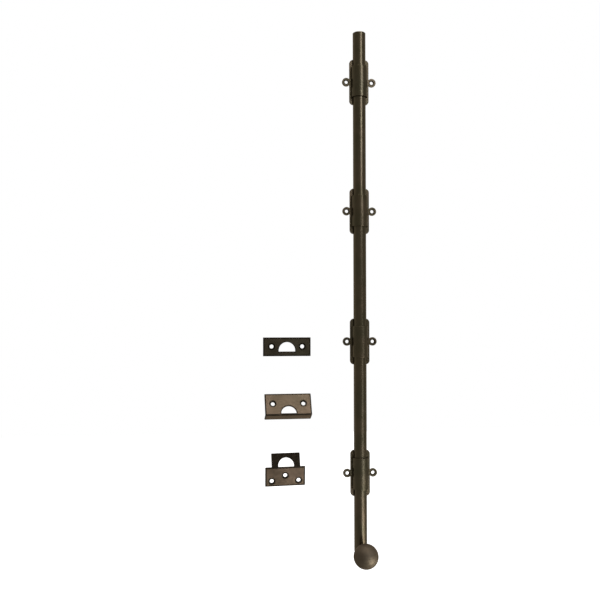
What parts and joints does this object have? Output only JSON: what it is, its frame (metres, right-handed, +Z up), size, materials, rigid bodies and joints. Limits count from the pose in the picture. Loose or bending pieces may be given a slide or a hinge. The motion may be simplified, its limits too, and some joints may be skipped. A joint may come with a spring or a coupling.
{
  "type": "surface bolt",
  "caption": "Long surface bolt: a half-round rod with a ball knob slides in flanged guides fixed to a door, with flat, angled and universal strikes beside it.",
  "frame": {"origin": "centre of the top guide's mounting face, on the door's surface", "axes": "+Z up along the rod towards its locking end, +Y into the door, +X to the right seen from the front"},
  "size_m": [0.2295, 0.0788, 1.0639],
  "materials": {
    "bronze": "oil-rubbed bronze, satin",
    "dark_bronze": "oil-rubbed bronze, dark and matt",
    "warm_bronze": "oil-rubbed bronze, brushed and lighter",
    "steel": "plain steel"
  },
  "bodies": {
    "fixed_set": {"guide_1": "bronze", "guide_2": "bronze", "guide_3": "bronze", "guide_4": "bronze", "friction_spring_1": "steel", "friction_spring_2": "steel", "friction_spring_3": "steel", "friction_spring_4": "steel", "spring_rivet_1": "steel", "spring_rivet_2": "steel", "spring_rivet_3": "steel", "spring_rivet_4": "steel", "flat_strike": "dark_bronze", "angle_strike": "warm_bronze", "universal_strike": "warm_bronze"},
    "bolt": {"rod": "bronze", "knob_ball": "bronze", "knob_neck": "bronze", "knob_screw": "steel", "stop_pin": "steel"}
  },
  "joints": [
    {"name": "rod_slide", "type": "slide", "parent": "fixed_set", "child": "bolt", "axis": [0, 0, 1], "range_m": [-0.038, 0]}
  ]
}
